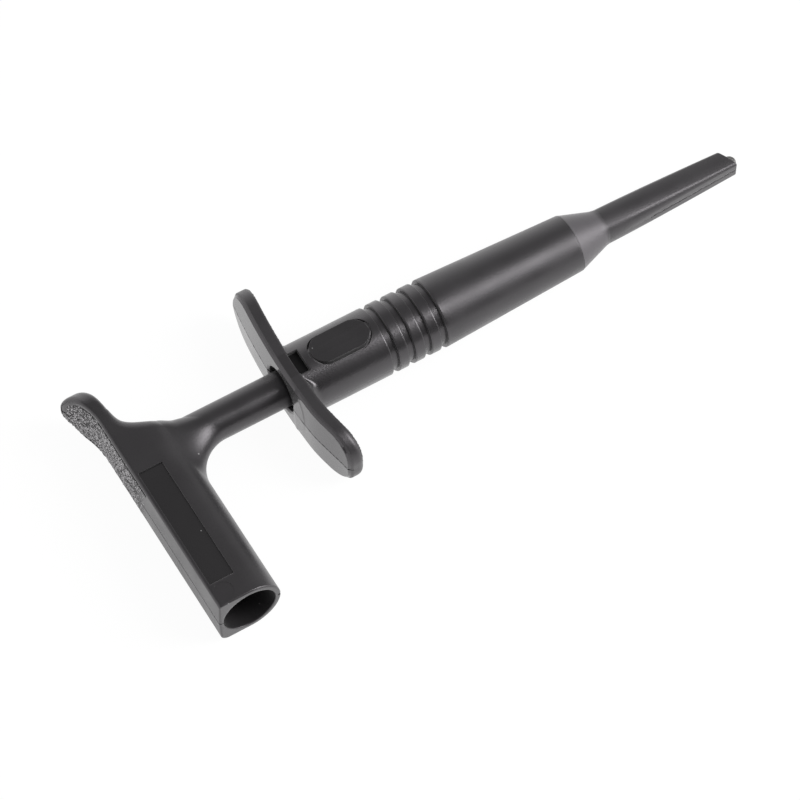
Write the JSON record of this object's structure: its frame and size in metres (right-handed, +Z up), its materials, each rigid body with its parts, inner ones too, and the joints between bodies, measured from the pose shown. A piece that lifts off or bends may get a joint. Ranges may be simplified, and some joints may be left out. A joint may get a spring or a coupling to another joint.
{
  "type": "grabber test hook",
  "caption": "Plunger test hook: pressing the T-handle pushes a wire hook out of a slim nose, a spring pulls it back to grip a lead, and a shrouded side socket takes a test plug.",
  "frame": {"origin": "middle of the tool's box, on the bench that the tool lies on", "axes": "+X along the tool to the hook, +Y across it from the plug socket to the thumb rest, +Z up from the bench"},
  "size_m": [0.124, 0.0526, 0.0128],
  "materials": {
    "black_plastic": "satin black moulded nylon",
    "nose_plastic": "finely matt black moulded nylon",
    "bush_plastic": "black acetal",
    "sleeve_plastic": "black insulating plastic",
    "contact_metal": "nickel-plated brass",
    "rod_metal": "drawn, nickel-plated brass",
    "hook_wire": "dull hard-drawn steel wire",
    "spring_wire": "bright spring steel",
    "small_steel": "plated steel"
  },
  "bodies": {
    "barrel": {"barrel": "black_plastic", "nose": "nose_plastic", "guide_bush": "bush_plastic", "front_spring_washer": "small_steel", "return_spring": "spring_wire"},
    "plunger": {"plunger_handle": "black_plastic", "jack_contact": "contact_metal", "jack_sleeve": "sleeve_plastic", "clamp_screw": "small_steel", "conductor_rod": "rod_metal", "hook": "hook_wire", "retaining_ring": "small_steel", "rear_spring_washer": "small_steel"}
  },
  "joints": [
    {"name": "plunger_slide", "type": "slide", "parent": "barrel", "child": "plunger", "axis": [1, 0, 0], "range_m": [0, 0.01], "stiffness_N_per_m": 300, "springref_m": -0.008, "deforming": ["return_spring"]}
  ]
}
